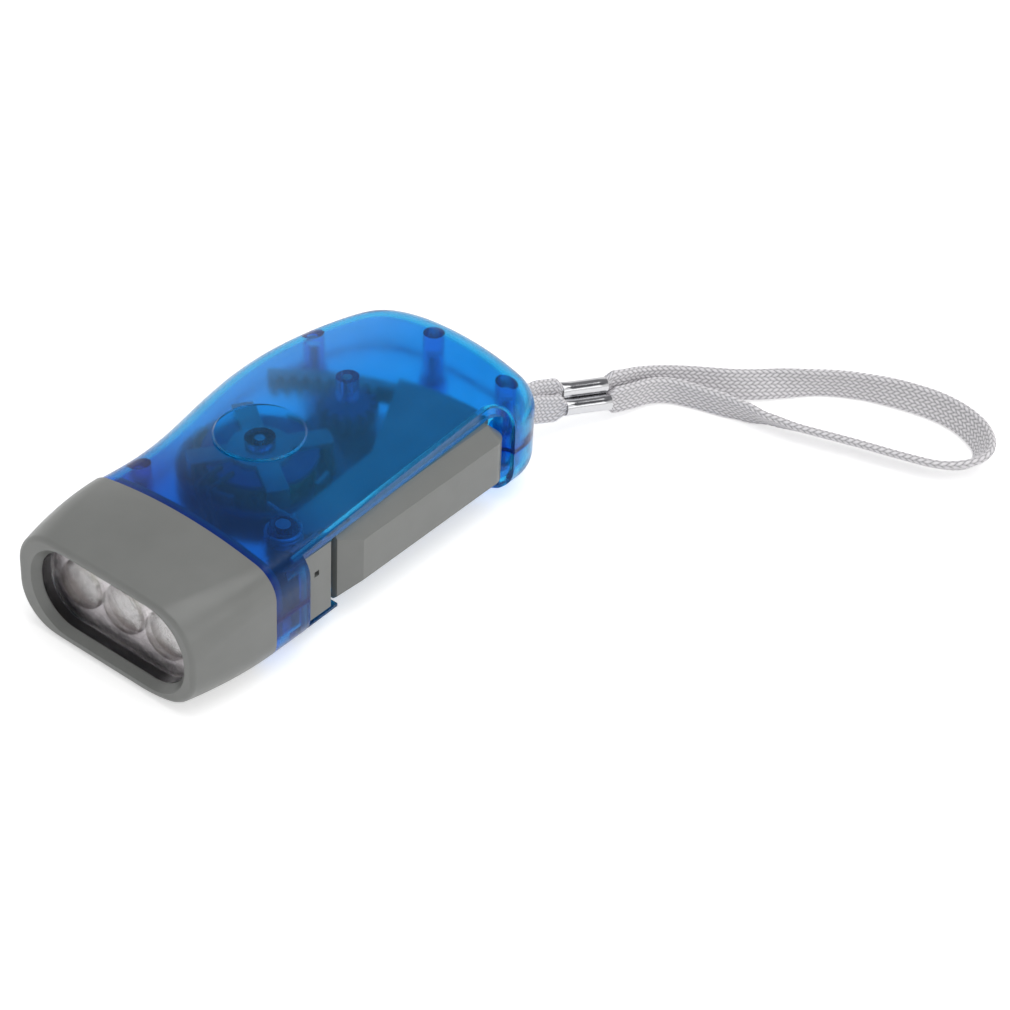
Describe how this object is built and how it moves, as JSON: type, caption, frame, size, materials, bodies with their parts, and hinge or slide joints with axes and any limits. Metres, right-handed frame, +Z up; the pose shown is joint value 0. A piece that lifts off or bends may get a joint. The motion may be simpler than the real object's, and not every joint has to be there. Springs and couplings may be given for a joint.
{
  "type": "squeeze dynamo flashlight",
  "caption": "Hand-squeezed dynamo LED flashlight: translucent blue housing, grey three-lens head, side lever, lock slider and a wrist strap on a metal clip.",
  "frame": {"origin": "centre of the underside of the flashlight without its strap", "axes": "+X the way the light goes, +Y towards the lever, +Z up"},
  "size_m": [0.1753, 0.116, 0.0271],
  "materials": {
    "blue_clear": "frosted translucent",
    "grey_abs": "fine matt texture",
    "clear_lens": "polished clear",
    "mirror_coat": "vacuum metallised",
    "led_epoxy": "clear epoxy",
    "board_green": "solder resist",
    "black_part": "moulded",
    "steel": "ground",
    "yoke_iron": "stamped and plated",
    "copper": "enamelled wire",
    "magnet_black": "bonded ferrite",
    "dark_acetal": "moulded acetal",
    "wire_insulation": "soft",
    "braid": "woven polyester",
    "clip_chrome": "bright plated"
  },
  "bodies": {
    "housing": {"upper_shell": "blue_clear", "lower_shell": "blue_clear", "housing_screws": "steel", "head_bezel": "grey_abs", "lens_plate": "clear_lens", "reflector": "mirror_coat", "leds": "led_epoxy", "circuit_board": "board_green", "diodes": "black_part", "capacitor": "black_part", "lead_wires": "wire_insulation", "stator_yoke_top": "yoke_iron", "stator_yoke_bottom": "yoke_iron", "coil_bobbin": "dark_acetal", "coil_winding": "copper", "gear_bridge": "dark_acetal", "bridge_screws": "steel", "compound_shaft": "steel", "input_shaft": "steel", "pivot_pin": "steel", "return_spring": "steel", "wrist_strap": "braid", "strap_clip": "clip_chrome"},
    "lever": {"squeeze_lever": "grey_abs", "sector_rack": "grey_abs"},
    "slider": {"lock_slider": "grey_abs"},
    "clutch_hub": {"input_pinion": "dark_acetal", "clutch_rollers": "steel"},
    "drive": {"drive_wheel": "dark_acetal"},
    "compound": {"compound_gear": "dark_acetal"},
    "rotor": {"flywheel": "black_part", "ring_magnet": "magnet_black", "rotor_shaft": "steel", "rotor_pinion": "dark_acetal"}
  },
  "joints": [
    {"name": "lever_hinge", "type": "hinge", "parent": "housing", "child": "lever", "pos_m": [0.0198, 0.0175, 0.0125], "axis": [0, 0, -1], "range_deg": [0, 16], "deforming": ["return_spring"]},
    {"name": "lock_slide", "type": "slide", "parent": "housing", "child": "slider", "axis": [1, 0, 0], "range_m": [0, 0.003]},
    {"name": "input_spin", "type": "hinge", "parent": "housing", "child": "clutch_hub", "pos_m": [-0.02304, -0.00414, 0.0164], "axis": [0, 0, -1], "range_deg": [0, 154]},
    {"name": "rotor_spin", "type": "hinge", "parent": "housing", "child": "rotor", "pos_m": [0.00374, -0.0033, 0.0122], "axis": [0, 0, 1], "continuous": true},
    {"name": "compound_spin", "type": "hinge", "parent": "housing", "child": "compound", "pos_m": [-0.00842, 0.0013, 0.0063], "axis": [0, 0, 1], "continuous": true},
    {"name": "drive_spin", "type": "hinge", "parent": "housing", "child": "drive", "pos_m": [-0.02304, -0.00414, 0.0073], "axis": [0, 0, 1], "continuous": true}
  ],
  "couplings": [
    {"joint": "input_spin", "follows": "lever_hinge", "ratio": 9.5714},
    {"joint": "compound_spin", "follows": "rotor_spin", "ratio": -0.3},
    {"joint": "drive_spin", "follows": "rotor_spin", "ratio": 0.09}
  ]
}
